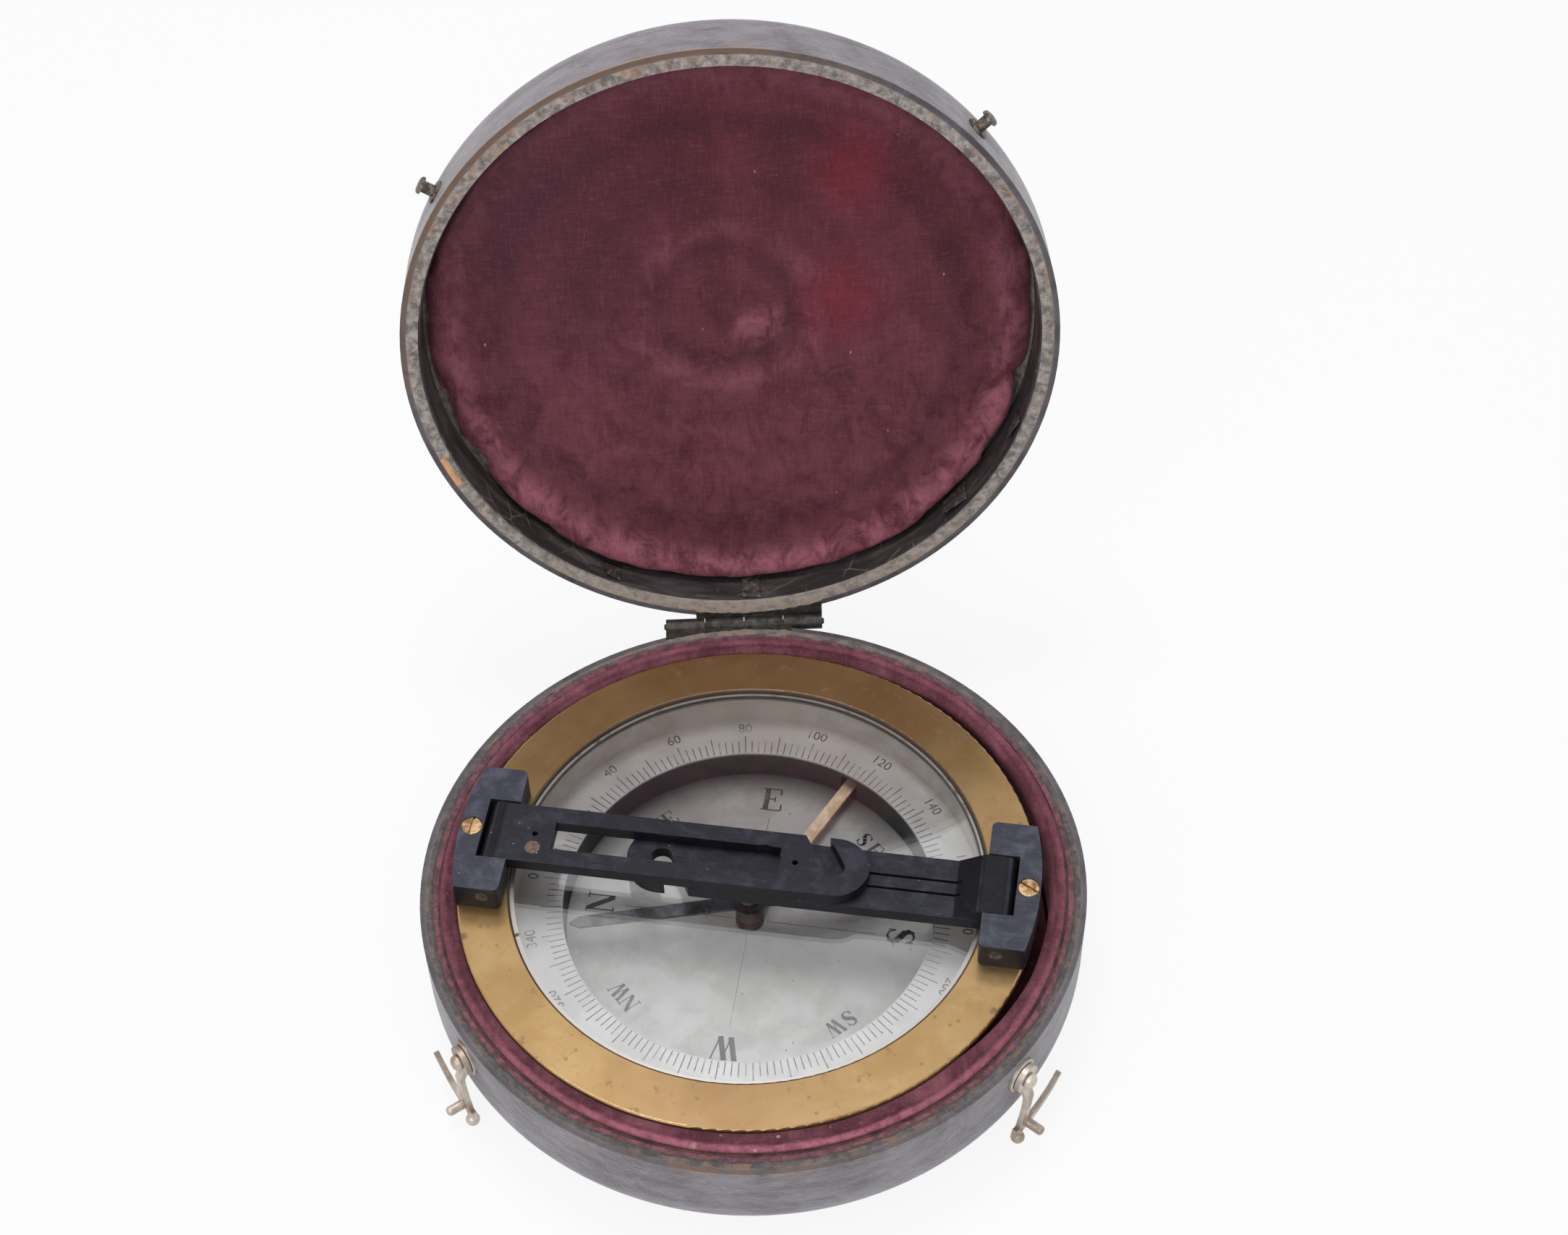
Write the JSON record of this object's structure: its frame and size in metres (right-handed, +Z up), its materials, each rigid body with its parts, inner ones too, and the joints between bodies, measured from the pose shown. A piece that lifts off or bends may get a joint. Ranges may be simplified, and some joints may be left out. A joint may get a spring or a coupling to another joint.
{
  "type": "compass case",
  "caption": "Round leather-covered case with a hinged padded lid and side hooks, holding a compass with folding sights, magnetic needle and stepped dial.",
  "frame": {"origin": "centre of the round underside", "axes": "+Z up, +Y towards the lid's hinge, +X to the right of a person who faces the open case"},
  "size_m": [0.1, 0.1358, 0.1167],
  "materials": {
    "leather": "worn dark leather, tan at the edges",
    "shell": "turned wood, unfinished",
    "velvet": "crushed maroon velvet",
    "strip": "black lining paper",
    "hinge": "darkened",
    "fittings": "tarnished",
    "lacquered_brass": "golden lacquer, spotted",
    "silvered_brass": "silvered, dull",
    "glass": "clear, flat",
    "blackened_brass": "blue-black, bronzed",
    "blued_steel": "grey, once blued",
    "jewel": "polished agate",
    "copper": "dull copper"
  },
  "bodies": {
    "case_base": {"base_core": "shell", "base_leather": "leather", "base_foot": "leather", "base_bed": "velvet", "base_collar": "shell", "collar_velvet": "velvet", "hinge_base_leaf": "hinge", "hinge_pin": "hinge", "hook_plates": "fittings", "hook_rivets": "fittings"},
    "lid": {"lid_core": "shell", "lid_leather": "leather", "lid_strip": "strip", "lid_pad": "velvet", "hinge_lid_leaf": "hinge", "lid_studs": "fittings"},
    "hook_left": {"hook_left": "fittings"},
    "hook_right": {"hook_right": "fittings"},
    "compass": {"compass_flange": "lacquered_brass", "compass_bowl": "lacquered_brass", "dial_floor": "silvered_brass", "degree_ring": "silvered_brass", "glass": "glass", "bezel_ring": "silvered_brass", "pivot_post": "lacquered_brass", "lifter_bridge": "lacquered_brass", "bracket_left": "blackened_brass", "bracket_right": "blackened_brass", "bracket_screws": "lacquered_brass", "sight_pins": "blackened_brass"},
    "lifter": {"lifter_lever": "lacquered_brass"},
    "needle_centre": {"needle_collet": "lacquered_brass", "needle_jewel": "jewel"},
    "needle": {"needle": "blued_steel"},
    "vane_left": {"vane_left": "blackened_brass", "vane_rivet": "copper"},
    "vane_right": {"vane_right": "blackened_brass"}
  },
  "joints": [
    {"name": "lid_hinge", "type": "hinge", "parent": "case_base", "child": "lid", "pos_m": [0, 0.0512, 0.01775], "axis": [-1, 0, 0], "range_deg": [-101.65, 0]},
    {"name": "hook_left_swing", "type": "hinge", "parent": "case_base", "child": "hook_left", "pos_m": [-0.0424, -0.0265, 0.0142], "axis": [-0.848, -0.5299, 0], "range_deg": [-165, 30]},
    {"name": "hook_right_swing", "type": "hinge", "parent": "case_base", "child": "hook_right", "pos_m": [0.03716, -0.03346, 0.0142], "axis": [-0.7431, 0.6691, 0], "range_deg": [-165, 30]},
    {"name": "compass_lift", "type": "slide", "parent": "case_base", "child": "compass", "axis": [0, 0, 1], "range_m": [0, 0.02]},
    {"name": "lifter_tilt", "type": "hinge", "parent": "compass", "child": "lifter", "pos_m": [0.01783, 0.0263, 0.0084], "axis": [-0.8141, 0.5807, 0], "range_deg": [0, 2.1]},
    {"name": "needle_lift", "type": "slide", "parent": "compass", "child": "needle_centre", "axis": [0, 0, 1], "range_m": [0, 0.0012]},
    {"name": "needle_spin", "type": "hinge", "parent": "needle_centre", "child": "needle", "pos_m": [-0.00075, 0.00025, 0.0112], "axis": [0, 0, 1], "continuous": true},
    {"name": "vane_left_fold", "type": "hinge", "parent": "compass", "child": "vane_left", "pos_m": [-0.03827, 0.00741, 0.0217], "axis": [-0.1874, -0.9823, 0], "range_deg": [0, 90]},
    {"name": "vane_right_fold", "type": "hinge", "parent": "compass", "child": "vane_right", "pos_m": [0.03677, -0.00691, 0.0217], "axis": [0.1874, 0.9823, 0], "range_deg": [0, 90]}
  ],
  "couplings": [
    {"joint": "vane_right_fold", "follows": "vane_left_fold", "ratio": 0.33333},
    {"joint": "needle_lift", "follows": "lifter_tilt", "m_per_rad": 0.032}
  ]
}
